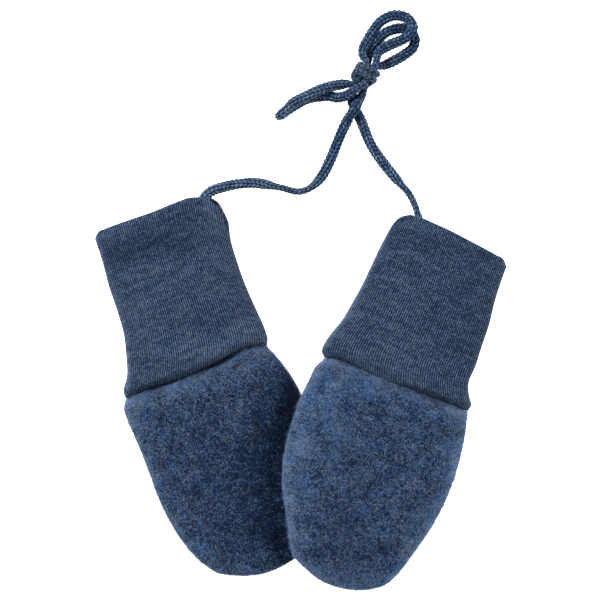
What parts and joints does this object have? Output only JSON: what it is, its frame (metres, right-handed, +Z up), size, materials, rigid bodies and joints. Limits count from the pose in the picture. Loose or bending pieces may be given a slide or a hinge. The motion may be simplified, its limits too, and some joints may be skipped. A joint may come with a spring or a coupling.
{
  "type": "pair of baby mittens on a cord",
  "caption": "Thumbless baby mittens with brushed fleece hands and jersey cuffs, laid flat and joined by a knitted cord tied in a slipped knot.",
  "frame": {"origin": "on the floor, at the middle of the box round the two mittens (without the cord)", "axes": "+Z up from the floor that the mittens lie on, -Y towards the fingertips, +Y towards the cuffs and the cord, +X towards the mitten that lies on top"},
  "size_m": [0.181, 0.2549, 0.0202],
  "materials": {
    "fleece": "brushed wool fleece, mottled mid-blue and navy, matt and fuzzy",
    "cuff_jersey": "fine melange wool jersey, dark blue, matt",
    "cord_knit": "knitted wool cord, dark melange blue, matt"
  },
  "bodies": {
    "root": {"left_cuff": "cuff_jersey", "left_hand_front": "fleece", "left_hand_back": "fleece", "right_cuff": "cuff_jersey", "right_hand_front": "fleece", "right_hand_back": "fleece", "cord": "cord_knit"}
  },
  "joints": []
}
